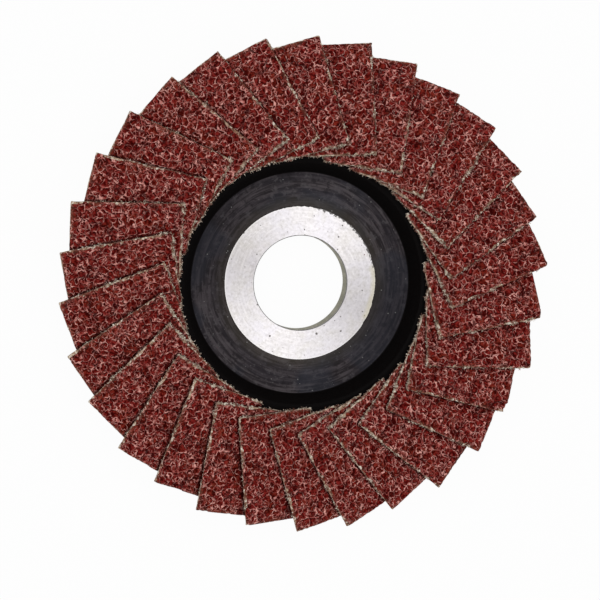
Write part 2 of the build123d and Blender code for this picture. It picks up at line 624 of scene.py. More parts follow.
@dataclass(frozen=True)
class CutCloth(Finish):
    """Stiff woven cotton-polyester backing, beige, greyed by resin where it was cut."""

    length: float
    width: float
    thread_pitch: float = 0.42
    name: str = "backing_cloth"

    def shader(self, bench: Bench) -> Socket:
        """Add the cloth's nodes.

        Args:
            bench: Where they are added.

        Returns:
            The shader's output.
        """
        across, along, _ = bench.parts(bench.attribute("flap_place", "FLOAT_VECTOR"))
        loose = bench.attribute("loose_thread")
        turn = 2 * math.pi / self.thread_pitch
        warp, weft = (bench.maths("SINE", way * turn) for way in (across, along))
        checker = bench.maths("SINE", across * (turn / 2)) * bench.maths("SINE", along * (turn / 2))
        weave = bench.mix(checker.ease(-0.2, 0.2), warp, weft) * 0.5 + 0.5
        body = self.object_place(bench)
        patch = bench.cloud(body, 2.4)
        stain = bench.cloud(body, 1.7, 2.0, 0.6)
        fleck = bench.cloud(body, 0.75, 3.0, 0.7)
        edge = bench.least(across, self.width - across, along, self.length - along)
        dyed = bench.tint(patch.ease(0.4, 0.6), (138, 104, 80), (158, 124, 98))
        dyed = bench.tint(weave.ease(0.45, 0.1) * 0.6, dyed, (98, 70, 54))
        cloth = bench.layered(
            bench.tint(patch.ease(0.38, 0.58), (152, 114, 92), (200, 170, 144)),
            (patch.ease(0.58, 0.66) * 0.5, (146, 144, 122)),
            (loose * 0.5, (222, 212, 196)),
            (stain.ease(0.51, 0.58) * 0.8, (132, 66, 54)),
            (fleck.ease(0.52, 0.6), (240, 231, 215)),
            (fleck.ease(0.46, 0.38) * 0.85, (76, 52, 42)),
            (edge.ease(0.4, 1.0) * (1 - loose) * 0.85, dyed),
        )
        bump = (weave * 0.7 + fleck * 0.5, 0.06)
        return self.surface(bench, cloth, 0.85, bump, {"Specular IOR Level": 0.1})


class Turning:
    """Where a place is on a turned piece: round the bore axis, and up from the hub's back face.

    Lengths are in millimetres and angles in radians.
    """

    fan_angle = math.radians(70)

    def __init__(self, bench: Bench, place: Socket) -> None:
        """Measure a place.

        Args:
            bench: Where the nodes are added.
            place: Millimetres on the object.
        """
        x, y, self.up = bench.parts(place)
        self.bench = bench
        self.radius = bench.maths("SQRT", x * x + y * y)
        self.angle = bench.maths("ARCTAN2", y, x)

    def marks(self, pitch: float, run: float) -> Signal:
        """Turning marks of a width and an arc: noise from 0 to 1, stretched round the axis."""
        x, y = (self.bench.maths(way, self.angle) / run for way in ("COSINE", "SINE"))
        return self.bench.cloud(self.bench.joined(x, y, self.radius / pitch), 1.0, 3.0, 0.65)

    def painted_sheen_fans(self) -> Signal:
        """Two broad opposite fans of painted sheen, where a turned face is painted brighter as if it caught
        the light, from 0 to 1.
        """
        return (self.bench.maths("COSINE", (self.angle - self.fan_angle) * 2) * 0.5 + 0.5) ** 0.7


@dataclass(frozen=True)
class TurnedAluminium(Finish):
    """Bright turned aluminium with faint rings, small pits and a nicked rim, painted sheen in two fans, a
    painted highlight on its rim and a bore wall painted darker as shade.
    """

    face_height: float
    rim: float
    bore: float
    name: str = "turned_aluminium"

    def shader(self, bench: Bench) -> Socket:
        """Add the ring's nodes.

        Args:
            bench: Where they are added.

        Returns:
            The shader's output.
        """
        place = self.object_place(bench)
        turning = Turning(bench, place)
        radius, up, angle = turning.radius, turning.up, turning.angle
        fine = turning.marks(0.5, 0.5)
        patch = bench.cloud(place, 7.0)
        blotch = bench.cloud(place, 2.6, 3.0, 0.6)
        mottle = bench.cloud(place, 0.65, 3.0, 0.75)
        pits = (bench.cells(place, 1.9) + 0.28 - bench.cloud(place, 2.2, 1.0) * 0.6).ease(0.06, 0.0)
        # Painted highlight: a thin bright line along the ring's outer rim.
        painted_rim_highlight = (radius + mottle * 0.4).ease(self.rim + 0.4, self.rim + 0.55)
        bite = (bench.cloud(place, 0.75, 2.0, 0.7) - 0.5) * 2.2
        nick = (radius + bite).ease(self.rim + 0.12, self.rim + 0.2) * abs(angle - 0.75).ease(0.75, 0.45)
        stain = (radius + blotch * 0.8).ease(self.rim - 0.7, self.rim + 0.5)
        stain = stain * abs(angle + 0.16).ease(0.42, 0.3)
        lip = (radius + mottle * 0.1).ease(self.bore + 0.28, self.bore + 0.1)
        wall = up.ease(self.face_height - 0.25, self.face_height - 0.4) * up.ease(0.05, 0.2)
        colour = bench.layered(
            bench.tint(fine.ease(0.36, 0.66), (208, 204, 205), (225, 221, 222)),
            (patch.ease(0.42, 0.6) * 0.5, (215, 212, 219)),
            (blotch.ease(0.46, 0.64) * 0.3, (204, 200, 192)),
            (mottle.ease(0.5, 0.66) * 0.36, (172, 168, 166)),
            (mottle.ease(0.46, 0.32) * 0.4, (240, 238, 238)),
            # Painted sheen: darker outside two broad opposite fans.
            (1 - turning.painted_sheen_fans(), (214, 213, 212), "MULTIPLY"),
            (pits * 0.85, (84, 76, 70)),
            (painted_rim_highlight * 0.3, (238, 236, 232)),
            (nick * 0.85, (62, 58, 54)),
            (stain * 0.42, (180, 172, 138)),
            (lip * 0.75, (92, 92, 90)),
            (up.ease(0.2, 0.05) * 0.5, (150, 148, 146)),
            # Painted shade: the bore wall is painted darker olive-grey, as it lies in shade.
            (wall, bench.tint(fine.ease(0.35, 0.65), (136, 134, 118), (166, 162, 146))),
        )
        metal = {"Metallic": 0.9 - bench.most(pits * 0.7, nick * 0.8)}
        bump = (fine * 0.4 + mottle * 0.5 - pits * 0.9, 0.03)
        return self.surface(bench, colour, 0.42 + fine * 0.12 + wall * 0.2, bump, metal)


@dataclass(frozen=True)
class MouldedPlate(Finish):
    """Black fibre-filled plastic: skimmed on the hub's face, painted near-black in the recess as shade,
    matt behind.
    """

    ring_radius: float
    face_height: float
    face_radius: float = 26.0
    flange_height: float = 8.7
    wall_flare: float = 0.55
    name: str = "black_plastic"

    def shader(self, bench: Bench) -> Socket:
        """Add the plate's nodes.

        Args:
            bench: Where they are added.

        Returns:
            The shader's output.
        """
        place = self.object_place(bench)
        turning = Turning(bench, place)
        up = turning.up
        grain = bench.cloud(place, 0.3, 2.0, 0.6)
        patch = bench.cloud(place, 8.0)
        face, flange = self.face_height, self.flange_height
        on_face = up.ease(face + 0.22, face + 0.08) * up.ease(face - 0.3, face - 0.1)
        slant = turning.radius - (up - face) * self.wall_flare
        before_wall = slant.ease(self.face_radius + 1.4, self.face_radius + 0.7)
        in_front = bench.most(before_wall, up.ease(flange - 0.4, flange - 0.2))
        in_recess = in_front * up.ease(face / 2, face / 2 + 0.5)
        skimmed = self.skimmed(bench, place, turning)
        # Painted shade: the recess is painted near-black, as the deep groove lies in shade.
        recess_painted_shade = bench.tint(grain.ease(0.4, 0.7), (5, 3, 3), (12, 10, 10))
        bump = (grain * 0.6, 0.03)
        recess = self.surface(bench, recess_painted_shade, 0.5 + grain * 0.2, bump, {"Specular IOR Level": 0.04})
        moulded = bench.tint(grain.ease(0.4, 0.7), (17, 17, 18), (27, 26, 27))
        moulded = bench.tint(patch.ease(0.5, 0.66) * 0.5, moulded, (36, 35, 34))
        bump = (grain * 0.6 + patch * 0.2, 0.03)
        behind = self.surface(bench, moulded, 0.4 + grain * 0.2, bump, {"Specular IOR Level": 0.3})
        below = bench.out("ShaderNodeMixShader", {0: in_recess, 1: behind, 2: recess})
        return bench.out("ShaderNodeMixShader", {0: on_face, 1: below, 2: skimmed})

    def skimmed(self, bench: Bench, place: Socket, turning: Turning) -> Socket:
        """Turned and handled face of the hub: faint rings, scuffs, a brown inner zone, a few specks, and
        painted sheen in bluish patches and two fans.

        Args:
            bench: Where the nodes are added.
            place: Millimetres on the object.
            turning: The same place round the axis.

        Returns:
            The shader's output.
        """
        fine = turning.marks(0.6, 0.35)
        broad = turning.marks(2.2, 0.8)
        scuff = bench.cloud(place, 1.8, 4.0, 0.7)
        painted_blue_sheen = bench.cloud(place, 13.0, 1.0)
        specks = bench.cells(place, 1.3).ease(0.12, 0.05) * (bench.cloud(place, 2.3, 1.0) > 0.56)
        inner = (turning.radius + scuff * 3.0).ease(self.ring_radius + 5.0, self.ring_radius + 1.5)
        colour = bench.layered(
            bench.tint(fine.ease(0.37, 0.63), (34, 29, 32), (78, 72, 75)),
            (broad.ease(0.46, 0.58) * 0.55, (38, 34, 40)),
            (scuff.ease(0.52, 0.68) * 0.6, (90, 86, 88)),
            (scuff.ease(0.46, 0.34) * 0.7, (26, 22, 25)),
            # Painted sheen: broad bluish patches, as a reflection on the skimmed face.
            (painted_blue_sheen.ease(0.48, 0.6) * 0.4, (48, 52, 62)),
            (inner * 0.45, (70, 64, 54)),
            # Painted sheen: darker outside two broad opposite fans.
            ((1 - turning.painted_sheen_fans()) * 0.8, (184, 180, 186), "MULTIPLY"),
            (specks * 0.75, (160, 160, 158)),
        )
        bump = (fine * 0.5 + broad * 0.3 + scuff * 0.5, 0.04)
        return self.surface(bench, colour, 0.5 + fine * 0.2, bump, {"Specular IOR Level": 0.1})


@dataclass(frozen=True)
class BondResin(Finish):
    """Dark brown thermoset resin, glossy, with small blisters."""

    name: str = "bond_resin_brown"

    def shader(self, bench: Bench) -> Socket:
        """Add the resin's nodes.

        Args:
            bench: Where they are added.

        Returns:
            The shader's output.
        """
        place = self.object_place(bench)
        patch = bench.cloud(place, 2.5)
        blister = bench.cells(place, 0.8).ease(0.35, 0.1)
        colour = bench.tint(patch.ease(0.35, 0.65), (30, 17, 12), (58, 32, 20))
        return self.surface(bench, colour, 0.2 + patch * 0.25, (blister * 0.6 + patch * 0.5, 0.12))


@dataclass(frozen=True)
class CrumbFinish(Finish):
    """Ground-off bits: grey dust, brick-red grain and dark resin, by each crumb's own tone."""

    name: str = "crumb_mix"

    def shader(self, bench: Bench) -> Socket:
        """Add the crumbs' nodes.

        Args:
            bench: Where they are added.

        Returns:
            The shader's output.
        """
        tone = bench.attribute("crumb_tone")
        colour = bench.tint(tone > 0.62, (148, 146, 142), (112, 26, 32))
        colour = bench.tint(tone > 0.8, colour, (26, 22, 22))
        inputs = {"Base Color": colour, "Roughness": 0.7, "Specular IOR Level": 0.2}
        return bench.out("ShaderNodeBsdfPrincipled", inputs)


# The flaps


class Side(Enum):
    """The four edges of a flap, walked round anticlockwise as seen from above."""

    INNER = 0
    OPEN = 1
    OUTER = 2
    LEAD = 3


@dataclass(frozen=True)
class FlapSeat:
    """Where the frame lays one flap.

    The corners are those of its underside, in metres: inner lead, inner open, outer open, outer lead.
    """

    number: int
    corners: tuple[Vector, Vector, Vector, Vector]
    thickness: float

    @property
    def width(self) -> float:
        """Millimetres across the flap in plan."""
        return (self.corners[1] - self.corners[0]).xy.length / MM

    @property
    def length(self) -> float:
        """Millimetres along the flap in plan."""
        return (self.corners[3] - self.corners[0]).xy.length / MM

    def flat_place(self, point: Vector) -> tuple[float, float]:
        """Find a point's place on the flap.

        Args:
            point: The point in metres.

        Returns:
            Millimetres across and along the flap, in plan.
        """
        inner_lead, inner_open, _, outer_lead = self.corners
        offset = (point - inner_lead).xy
        across = (inner_open - inner_lead).xy.normalized()
        along = (outer_lead - inner_lead).xy.normalized()
        return offset.dot(across) / MM, offset.dot(along) / MM

    def raised(self, flat: np.ndarray, height: np.ndarray) -> np.ndarray:
        """Lay flat places on the twisted slab.

        Args:
            flat: Millimetres across and along, one row a point.
            height: Millimetres above the underside, one a point.

        Returns:
            Points in metres.
        """
        inner_lead, inner_open, outer_open, outer_lead = (np.array(corner) for corner in self.corners)
        v = (flat[:, 0] / self.width)[:, None]
        u = (flat[:, 1] / self.length)[:, None]
        inner = inner_lead * (1 - v) + inner_open * v
        outer = outer_lead * (1 - v) + outer_open * v
        points = inner * (1 - u) + outer * u
        points[:, 2] += height * MM
        return points


def seat_of(node: Object, number: int, heading: float) -> FlapSeat:
    """Read one flap's seat from its solid in the frame.

    Args:
        node: The flap's node.
        number: The flap's number, from 1.
        heading: Clockwise degrees from +Y at which the flap points.

    Returns:
        The seat. A corner that is worn off is where the edges would have met.
    """
    points = [vertex.co.copy() for vertex in node.data.vertices]
    turn = math.radians(heading)
    along = Vector((math.sin(turn), math.cos(turn)))
    across = Vector((math.cos(turn), -math.sin(turn)))

    def lowest(found: Iterable[Vector]) -> Vector:
        """Lowest of several points."""
        return min(found, key=lambda p: p.z)

    def corner(u: float, v: float) -> Vector:
        """Find a corner of the underside.

        Args:
            u: 1 for the outer end, -1 for the inner.
            v: 1 for the open edge, -1 for the lead edge.

        Returns:
            The lower vertex furthest out that way.
        """
        way = along * u + across * v
        reach = max(point.xy.dot(way) for point in points)
        return lowest(p for p in points if p.xy.dot(way) > reach - TOUCH)

    inner_lead, inner_open, outer_lead = corner(-1, -1), corner(-1, 1), corner(1, -1)
    top = max(p.z for p in points if (p.xy - inner_lead.xy).length < TOUCH)
    edge = (outer_lead - inner_lead).xy
    whole = edge.length
    edge.normalize()
    offsets = [(p, p.xy - inner_open.xy) for p in points]
    reaches = [(p, off.dot(edge)) for p, off in offsets if abs(off.cross(edge)) < 2 * TOUCH]
    furthest = max(reach for _, reach in reaches)
    last = lowest(p for p, reach in reaches if reach > max(furthest - TOUCH, whole / 2))
    outer_open = inner_open + (last - inner_open) * (whole / furthest)
    return FlapSeat(number, (inner_lead, inner_open, outer_open, outer_lead), top - inner_lead.z)


@dataclass(frozen=True)
class Chip:
    """A step broken off a flap's outer end beside its open edge. Millimetres."""

    width: float
    depth: float


@dataclass(frozen=True)
class Ply:
    """How a flap is built up and meshed. Millimetres."""

    cloth: float = 0.5
    coat_floor: float = 0.78
    coat_brow: float = 0.55  # the coat comes down to its edges over this width
    brow_drop: float = 0.16
    foot_lift: float = 0.12
    crumple: float = 0.09
    corner: float = 0.18  # radius of a corner that isn't worn
    ragged: float = 0.5
    seam: float = 0.12
    cut_wave: float = 0.16
    rows: int = 152
    fine_columns: int = 62
    coarse_columns: int = 5
    back_rows: int = 16
    back_columns: int = 11
    cover_margin: float = 1.3
    back_margin: float = 0.9
    across_fade: int = 10  # powers by which an edge's wander dies away inwards
    along_fade: int = 16
    chip_fade: int = 14

    @property
    def columns(self) -> int:
        """Spaces across the coat."""
        return self.fine_columns + self.coarse_columns


class FlapMesh:
    """Closed sheet: a fine coat on top, its broken edge, the cloth's cut edge, and a coarse back."""

    def __init__(self, ply: Ply) -> None:
        """Work out the faces, which are the same for every flap.

        Args:
            ply: How a flap is meshed.
        """
        self.ply = ply
        columns, rows = ply.columns, ply.rows
        self.coat = np.arange((rows + 1) * (columns + 1)).reshape(rows + 1, columns + 1)
        self.rim = self.border(self.coat)
        self.rim_count = len(self.rim)
        self.foot = self.coat.size + np.arange(self.rim_count)
        self.shoulder = self.foot + self.rim_count
        self.hem = self.shoulder + self.rim_count
        back_start = self.coat.size + 3 * self.rim_count
        back_shape = (ply.back_rows + 1, ply.back_columns + 1)
        self.back = back_start + np.arange(back_shape[0] * back_shape[1]).reshape(back_shape)
        self.count = back_start + self.back.size
        self.faces = self.listed()
        self.coat_faces = rows * columns + self.rim_count

    @staticmethod
    def border(grid: np.ndarray) -> np.ndarray:
        """Walk anticlockwise round a grid's border."""
        return np.concatenate([grid[0, :-1], grid[:-1, -1], grid[-1, :0:-1], grid[:0:-1, 0]])

    @staticmethod
    def quads(grid: np.ndarray) -> np.ndarray:
        """List a grid's faces, pointing up."""
        corners = [grid[:-1, :-1], grid[:-1, 1:], grid[1:, 1:], grid[1:, :-1]]
        return np.stack(corners, -1).reshape(-1, 4)

    def listed(self) -> list[tuple[int, ...]]:
        """List the faces.

        Returns:
            The vertices of each, those of the coat first.
        """
        loops = (self.rim, self.foot, self.shoulder, self.hem)
        bands = [
            np.stack([upper, lower, np.roll(lower, -1), np.roll(upper, -1)], -1)
            for upper, lower in zip(loops, loops[1:])
        ]
        under = self.quads(self.back)[:, [0, 3, 2, 1]]
        faces = [tuple(face) for part in (self.quads(self.coat), *bands, under) for face in part.tolist()]
        return faces + self.zipped()

    def zipped(self) -> list[tuple[int, int, int]]:
        """Join the hem to the coarse back's border.

        Returns:
            Triangles that face down.
        """
        ply = self.ply
        inner, outer = self.border(self.back).tolist(), self.hem.tolist()
        inner_at = self.walk(ply.back_columns, ply.back_rows)
        outer_at = self.walk(ply.columns, ply.rows)
        triangles = []
        i = j = 0
        while i < len(outer) or j < len(inner):
            if j == len(inner) or (i < len(outer) and outer_at[i + 1] <= inner_at[j + 1]):
                triangles.append((outer[(i + 1) % len(outer)], outer[i], inner[j % len(inner)]))
                i += 1
            else:
                triangles.append((inner[j], inner[(j + 1) % len(inner)], outer[i % len(outer)]))
                j += 1
        return triangles

    @staticmethod
    def walk(columns: int, rows: int) -> list[float]:
        """How far round the border each of its vertices is, one for each side."""
        sides = enumerate((columns, rows, columns, rows))
        return [side + step / spaces for side, spaces in sides for step in range(spaces)] + [4.0]


@dataclass
class FlapPack:
    """All the flaps: their coat, cloth, and cut edges with loose threads and crumbled lumps."""

    frame: Mapping[str, object]
    count: int = 30
    first_heading: float = -15.0
    ply: Ply = field(default_factory=Ply)
    pattern: GrainPattern = field(default_factory=GrainPattern)
    relief: float = 0.46
    worn_corners: Mapping[int, float] = field(default_factory=lambda: {8: 0.8, 9: 1.3, 10: 0.9, 11: 1.2})
    chips: Mapping[int, Chip] = field(default_factory=lambda: {11: Chip(2.6, 0.6)})
    inner_corner: float = 1.0
    coat_loss: tuple[float, float] = (0.25, 1.1)
    thread_spacing: float = 0.2
    thread_length: float = 1.0
    thread_radius: float = 0.06
    lump_size: float = 0.4
    frayed_depth: float = 0.45
    torn_width: float = 6.0  # of the inner end beside the lead edge, where the cloth is torn most

    def seats(self) -> list[FlapSeat]:
        """Read every flap's seat from the frame."""
        headings = ((n, self.first_heading + 360 / self.count * (n - 1)) for n in range(1, self.count + 1))
        return [seat_of(self.frame["nodes"][f"flap_{n:02d}"], n, heading) for n, heading in headings]

    def worn(self, flat: np.ndarray, seat: FlapSeat, loss: float = 0.0) -> np.ndarray:
        """Round the worn corners and break off a chip.

        Args:
            flat: Millimetres across and along, in the last axis.
            seat: The flap's seat.
            loss: How much more is gone from the corners, for the coat.

        Returns:
            The places after wear.
        """
        worn = flat.reshape(-1, 2).copy()
        chip = self.chips.get(seat.number)
        if chip:
            lumps = self.edge_noise(worn[:, 0], seat, Side.OUTER, 0.9)
            beside = np.clip((worn[:, 0] - seat.width + chip.width) / 0.5, 0, 1)
            fade = np.clip(worn[:, 1] / seat.length, 0, 1) ** self.ply.chip_fade
            worn[:, 1] -= chip.depth * (1 + 0.5 * lumps) * beside * fade
        corner = self.ply.corner
        outer = self.worn_corners.get(seat.number, corner) + loss
        corners = ((outer, (1, 1)), (corner + loss, (1, -1)), (self.inner_corner + loss / 2, (-1, -1)))
        for radius, signs in corners:
            way = np.array(signs)
            centre = np.where(way > 0, np.array([seat.width, seat.length]) - radius, radius)
            offset = (worn - centre) * way
            inside = (offset > 0).all(axis=1)
            reach = offset[inside].max(axis=1)
            worn[inside] = centre + way * offset[inside] * (reach / np.hypot(*offset[inside].T))[:, None]
        return worn.reshape(flat.shape)

    def edge_noise(self, at: np.ndarray, seat: FlapSeat, side: Side, size: float) -> np.ndarray:
        """Smooth noise from -1 to 1 along one edge.

        Args:
            at: Millimetres along the edge.
            seat: The flap's seat.
            side: Which edge.
            size: Length of a wave in millimetres.

        Returns:
            One value a place.
        """
        shelf = Vector((0.0, 17.3 * seat.number, 7.1 * side.value + 3.7 * size))
        return np.array([noise.noise(Vector((place / size, 0.0, 0.0)) + shelf) for place in at.tolist()])

    def ragged_inset(self, at: np.ndarray, seat: FlapSeat, side: Side) -> np.ndarray:
        """Work out how far the coat is broken back from a cut edge.

        Args:
            at: Millimetres along the edge.
            seat: The flap's seat.
            side: Which edge.

        Returns:
            Millimetres, one value a place.
        """
        share = {Side.INNER: 1.1, Side.OPEN: 1.0, Side.OUTER: 0.35, Side.LEAD: 0.3}[side]
        long_wave = self.edge_noise(at, seat, side, 3.1)
        short_wave = self.edge_noise(at, seat, side, 0.8)
        broken = np.clip(0.3 + 2.4 * long_wave + 2.0 * short_wave, 0, 1.4)
        return share * (self.ply.seam + self.ply.ragged * broken)

    @staticmethod
    def clearance(points: np.ndarray, covering: FlapSeat) -> np.ndarray:
        """Measure in plan from the covering flap's outline.

        Args:
            points: Points in metres.
            covering: The covering flap's seat.

        Returns:
            Millimetres outside the outline, below 0 under that flap.
        """
        across, along = np.array([covering.flat_place(Vector(point)) for point in points.tolist()]).T
        outside = np.stack([across - covering.width, 0.25 - along, along - covering.length], -1)
        beyond = np.hypot(*np.clip(outside[:, :2], 0, None).T)
        return np.where((outside < 0).all(axis=1), outside.max(axis=1), beyond)

    def cover_line(self, along: np.ndarray, seat: FlapSeat, covering: FlapSeat) -> np.ndarray:
        """Find where the covering flap's open edge lies over a flap.

        Args:
            along: Millimetres along the flap.
            seat: The flap's seat.
            covering: The covering flap's seat.

        Returns:
            Millimetres across the flap.
        """
        a1, b1 = seat.flat_place(covering.corners[1])
        a2, b2 = seat.flat_place(covering.corners[2])
        return a1 + (a2 - a1) * (along - b1) / (b2 - b1)

    def shape(
        self, mesh: FlapMesh, seat: FlapSeat, covering: FlapSeat
    ) -> tuple[np.ndarray, np.ndarray, np.ndarray]:
        """Place every vertex of one flap.

        Args:
            mesh: The faces' plan.
            seat: The flap's seat.
            covering: The seat of the flap that lies over it.

        Returns:
            Flat places, heights over the underside, and how freely the coat may rise, all in millimetres.
        """
        ply = self.ply
        width, length, thickness = seat.width, seat.length, seat.thickness / MM
        t = np.linspace(0, 1, ply.rows + 1)[:, None]
        hidden = (self.cover_line(t * length, seat, covering) - ply.cover_margin) / width
        column = np.arange(ply.columns + 1)[None, :]
        coarse = column / ply.coarse_columns * hidden
        fine = hidden + (column - ply.coarse_columns) / ply.fine_columns * (1 - hidden)
        v = np.where(column < ply.coarse_columns, coarse, fine)
        across = v * width
        along = np.broadcast_to(t * length, v.shape)
        open_inset = self.ragged_inset(along[:, -1], seat, Side.OPEN)[:, None]
        lead_inset = self.ragged_inset(along[:, 0], seat, Side.LEAD)[:, None]
        inner_inset = self.ragged_inset(across[0], seat, Side.INNER)[None, :]
        outer_inset = self.ragged_inset(across[-1], seat, Side.OUTER)[None, :]
        coat_across = across - open_inset * v**ply.across_fade + lead_inset * (1 - v) ** ply.across_fade
        coat_along = along + inner_inset * (1 - t) ** ply.along_fade - outer_inset * t**ply.along_fade
        loss = float(np.random.default_rng(seat.number).uniform(*self.coat_loss))
        coat = self.worn(np.stack([coat_across, coat_along], -1), seat, loss)
        border = self.worn(np.stack([across, along], -1).reshape(-1, 2)[mesh.rim], seat)
        wave = self.cut_wave(border, seat)
        shoulder = border + wave
        hem = border + wave * 0.4
        foot = coat.reshape(-1, 2)[mesh.rim] * 0.75 + shoulder * 0.25
        back = self.back_places(width, length)
        flat = np.concatenate([coat.reshape(-1, 2), foot, shoulder, hem, back])
        sides = np.minimum.reduce([width - coat[..., 0], coat[..., 1], length - coat[..., 1], coat[..., 0]])
        inwards = np.clip(sides / ply.coat_brow, 0, 1)
        free = inwards * inwards * (3 - 2 * inwards)
        floor = ply.coat_floor - ply.brow_drop * (1 - free)
        places = ((*place, 5.3 * seat.number) for place in (border / 0.9).tolist())
        frayed = ply.cloth + ply.crumple * np.array([noise.noise(Vector(place)) for place in places])
        height = np.concatenate(
            [
                np.minimum(floor.ravel(), thickness),
                np.minimum(frayed + ply.foot_lift, ply.coat_floor - 0.1),
                frayed,
                np.zeros(mesh.rim_count + len(back)),
            ]
        )
        rise = np.concatenate([0.25 + 0.75 * free.ravel(), np.zeros(mesh.count - free.size)])
        return flat, height, rise

    def cut_wave(self, border: np.ndarray, seat: FlapSeat) -> np.ndarray:
        """Let the cut cloth wander inwards from its straight edges.

        Args:
            border: Flat places of the border's vertices.
            seat: The flap's seat.

        Returns:
            A shift of each of them, in millimetres.
        """
        inwards = np.zeros_like(border)
        for side in Side:
            axis, at_high = int(side in (Side.INNER, Side.OUTER)), side in (Side.OPEN, Side.OUTER)
            size = (seat.width, seat.length)[axis]
            off = size - border[:, axis] if at_high else border[:, axis]
            near = np.clip(1 - off / 0.5, 0, 1)
            wander = self.edge_noise(border[:, 1 - axis], seat, side, 2.3)
            flutter = self.edge_noise(border[:, 1 - axis], seat, side, 0.6)
            depth = self.ply.cut_wave * (0.6 + 1.8 * wander + 0.9 * flutter)
            inwards[:, axis] += near * np.maximum(depth, 0) * (-1 if at_high else 1)
        return inwards

    def back_places(self, width: float, length: float) -> np.ndarray:
        """Lay out the back's coarse grid.

        Args:
            width: Millimetres across the flap.
            length: Millimetres along it.

        Returns:
            Flat places, one row a point.
        """
        ply = self.ply
        across = np.linspace(ply.back_margin, width - ply.back_margin, ply.back_columns + 1)
        along = np.linspace(ply.back_margin, length - ply.back_margin, ply.back_rows + 1)
        return np.stack(np.meshgrid(across, along), -1).reshape(-1, 2)

    def fray(self, border: np.ndarray, seat: FlapSeat) -> np.ndarray:
        """Work out how thickly the cut cloth is frayed, at its inner end and along its open edge.

        Args:
            border: Flat places of the border's vertices.
            seat: The flap's seat.

        Returns:
            A share from 0 to 1 for each of them.
        """
        across, along = border.T
        tuft = np.clip(0.2 + 2.4 * self.edge_noise(border.sum(axis=1), seat, Side.OPEN, 1.9), 0, 1)
        at_end = np.where(across < self.torn_width, 0.55 + 0.45 * tuft, 0.15 + 0.65 * tuft)
        beside = (across > seat.width - self.frayed_depth) & (along < seat.length - 2.0)
        return np.where(along < self.frayed_depth, at_end, np.where(beside, 0.4 * tuft, 0.0))

    def tree(self, coat: Material, cloth: Material) -> Tree:
        """Build the geometry tree that raises the coat's relief and frays the cut edges.

        Args:
            coat: Material of the coat.
            cloth: Material of the cloth and its threads.

        Returns:
            The tree, whose inputs carry this pack's sizes.
        """
        sizes = {
            "Relief": self.relief * MM,
            "Thread spacing": self.thread_spacing * MM,
            "Thread length": self.thread_length * MM,
            "Thread radius": self.thread_radius * MM,
            "Lump size": self.lump_size * MM,
            "Seed": 0,
        }
        bench = Grower("flap_relief_and_fray", sizes)
        whole = bench.node("GeometryNodeJoinGeometry")
        for part in (self.raised_sheet(bench), *self.frayed_edge(bench)):
            bench.tree.links.new(part, whole.inputs[0])
        on_coat = bench.attribute("coat_face", "BOOLEAN")
        return bench.end(whole.outputs[0], (cloth, True), (coat, on_coat))

    def raised_sheet(self, bench: Grower) -> Socket:
        """Lift the coat by its web's relief.

        Args:
            bench: Where the nodes are added.

        Returns:
            The sheet.
        """
        roll = self.pattern.place(bench, bench.attribute("flap_place", "FLOAT_VECTOR"))
        ridges, crumbs, cracks_and_ridge_shade, swell = self.pattern.web(bench, roll)
        # The cracks and the painted shade beside each ridge also lower the relief.
        web = bench.most(ridges, crumbs * 0.7) * (0.62 - cracks_and_ridge_shade * 0.5) + swell * 0.38
        lift = web * bench.attribute("coat_rise") * bench.given["Relief"]
        return bench.moved(bench.mesh, bench.joined(0.0, 0.0, lift))

    def frayed_edge(self, bench: Grower) -> list[Socket]:
        """Scatter short bent threads and crumbled lumps along the cut edges of the cloth.

        Args:
            bench: Where the nodes are added.

        Returns:
            The threads and the lumps, as instances.
        """
        given, chance = bench.given, bench.chance
        fray = bench.attribute("fray")
        edge = bench.out("GeometryNodeMeshToCurve", {"Mesh": bench.mesh, "Selection": fray > 0.01})
        inputs = {"Curve": edge, "Length": given["Thread spacing"]}
        strung = bench.node("GeometryNodeCurveToPoints", inputs, mode="LENGTH").outputs
        roots = bench.socket(strung, "Points")

        ends = {"Start": (-0.5, 0.1, 0.0), "Middle": (0.1, -0.3, 0.2), "End": (0.5, 0.25, -0.1)}
        bow = bench.out("GeometryNodeCurveQuadraticBezier", {"Resolution": 4, **ends})
        length = given["Thread length"]
        thread = bench.tube(bow, 3, given["Thread radius"] / length)
        thread = bench.stored(thread, "loose_thread", 0.8, "POINT")
        inputs = {"Vector": bench.socket(strung, "Tangent")}
        along_edge = bench.out("FunctionNodeAlignRotationToVector", inputs, axis="X")
        toss = chance((-math.pi, -0.5, -1.5), (math.pi, 0.5, 1.5), 7, "FLOAT_VECTOR")
        inputs = {"Rotation": along_edge, "Rotate By": toss}
        tossed = bench.out("FunctionNodeRotateRotation", inputs, rotation_space="LOCAL")
        spread, kept = length * chance(0.4, 1.2, 3), fray > chance(0.0, 1.0, 5)
        threads = bench.strewn(roots, thread, tossed, spread, kept)

        place = bench.scaled(bench.out("GeometryNodeInputPosition"), 1 / MM)
        clump = bench.cloud(place, 1.6, 1.0).ease(0.44, 0.58) * fray * fray
        size = (chance(0.0, 1.0, 11) ** 2 * 0.7 + 0.3) * given["Lump size"]
        stray = chance((-1.0, -1.0, -0.4), (1.0, 1.0, 1.0), 13, "FLOAT_VECTOR")
        moved = bench.moved(roots, bench.scaled(stray, given["Lump size"]))
        squash = chance((0.6, 0.4, 0.4), (1.2, 0.8, 0.8), 15, "FLOAT_VECTOR")
        squashed = bench.vectors("MULTIPLY", bench.joined(size, size, size), squash)
        turned = chance((-math.pi,) * 3, (math.pi,) * 3, 17, "FLOAT_VECTOR")
        lump = bench.stored(bench.lump(), "loose_thread", 1.7, "POINT")
        kept = clump * 0.8 > chance(0.0, 1.0, 19)
        return [threads, bench.strewn(moved, lump, turned, squashed, kept)]

